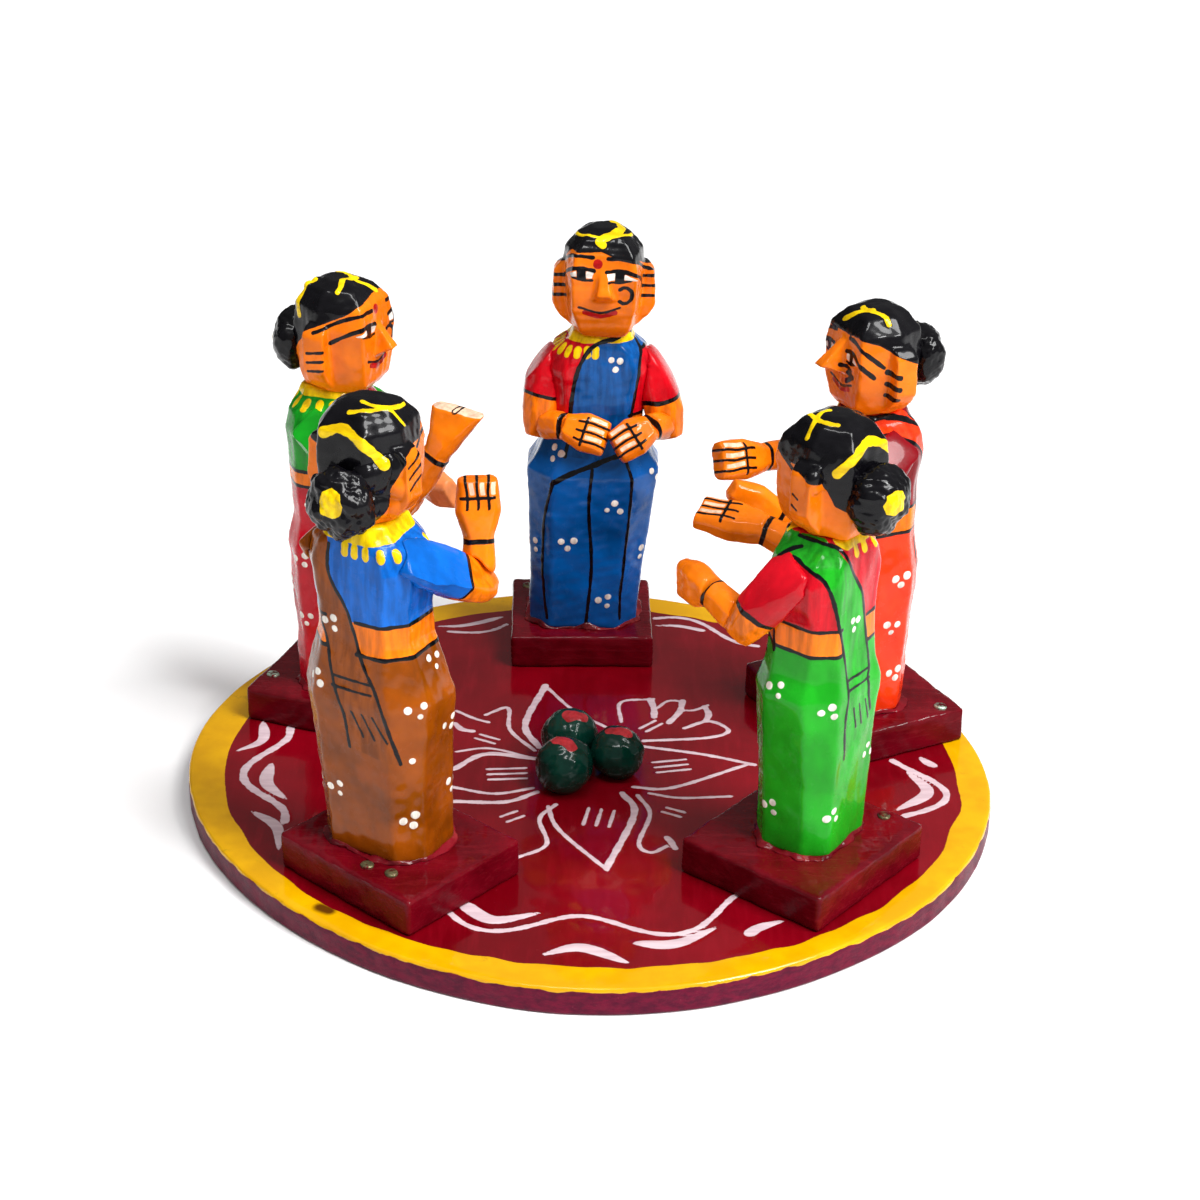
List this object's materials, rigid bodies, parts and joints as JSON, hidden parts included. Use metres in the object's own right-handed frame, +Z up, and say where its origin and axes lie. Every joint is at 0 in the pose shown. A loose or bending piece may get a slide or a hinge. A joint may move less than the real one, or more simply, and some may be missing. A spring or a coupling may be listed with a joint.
{
  "type": "wooden doll group",
  "caption": "Carved and painted wooden women in sarees on square plinths, clapping in a ring round small balls on a round floor board.",
  "frame": {"origin": "centre of the board's underside", "axes": "+Z up; -Y towards the open side of the ring, from which the figure opposite is seen from the front"},
  "size_m": [0.21, 0.201, 0.1325],
  "materials": {
    "board": "gloss enamel",
    "ball": "gloss enamel",
    "plinth": "gloss enamel",
    "skin": "gloss enamel",
    "hair": "gloss enamel",
    "blue_saree": "gloss enamel",
    "blue_blouse": "gloss enamel",
    "brown_saree": "gloss enamel",
    "brown_blouse": "gloss enamel",
    "green_saree": "gloss enamel",
    "green_blouse": "gloss enamel",
    "crimson_saree": "gloss enamel",
    "crimson_blouse": "gloss enamel",
    "orange_saree": "gloss enamel",
    "orange_blouse": "gloss enamel",
    "nail": "dull",
    "peg": "bare"
  },
  "bodies": {
    "root": {"board": "board", "gobbemma_front": "ball", "gobbemma_rear": "ball", "gobbemma_right": "ball", "blue_plinth": "plinth", "blue_body": "blue_saree", "blue_head": "skin", "blue_bun": "hair", "blue_right_upper_arm": "blue_blouse", "blue_right_forearm": "skin", "blue_left_upper_arm": "blue_blouse", "blue_left_forearm": "skin", "brown_plinth": "plinth", "brown_body": "brown_saree", "brown_head": "skin", "brown_bun": "hair", "brown_right_upper_arm": "brown_blouse", "brown_right_forearm": "skin", "brown_left_upper_arm": "brown_blouse", "brown_left_forearm": "skin", "green_plinth": "plinth", "green_body": "green_saree", "green_head": "skin", "green_bun": "hair", "green_right_upper_arm": "green_blouse", "green_right_forearm": "skin", "green_left_upper_arm": "green_blouse", "green_left_forearm": "skin", "crimson_plinth": "plinth", "crimson_body": "crimson_saree", "crimson_head": "skin", "crimson_bun": "hair", "crimson_right_upper_arm": "crimson_blouse", "crimson_right_forearm": "skin", "crimson_left_upper_arm": "crimson_blouse", "crimson_left_forearm": "skin", "orange_plinth": "plinth", "orange_body": "orange_saree", "orange_head": "skin", "orange_bun": "hair", "orange_right_upper_arm": "orange_blouse", "orange_right_forearm": "skin", "orange_left_upper_arm": "orange_blouse", "orange_left_forearm": "skin", "plinth_nails": "nail", "figure_nails": "nail", "neck_pegs": "peg"}
  },
  "joints": []
}
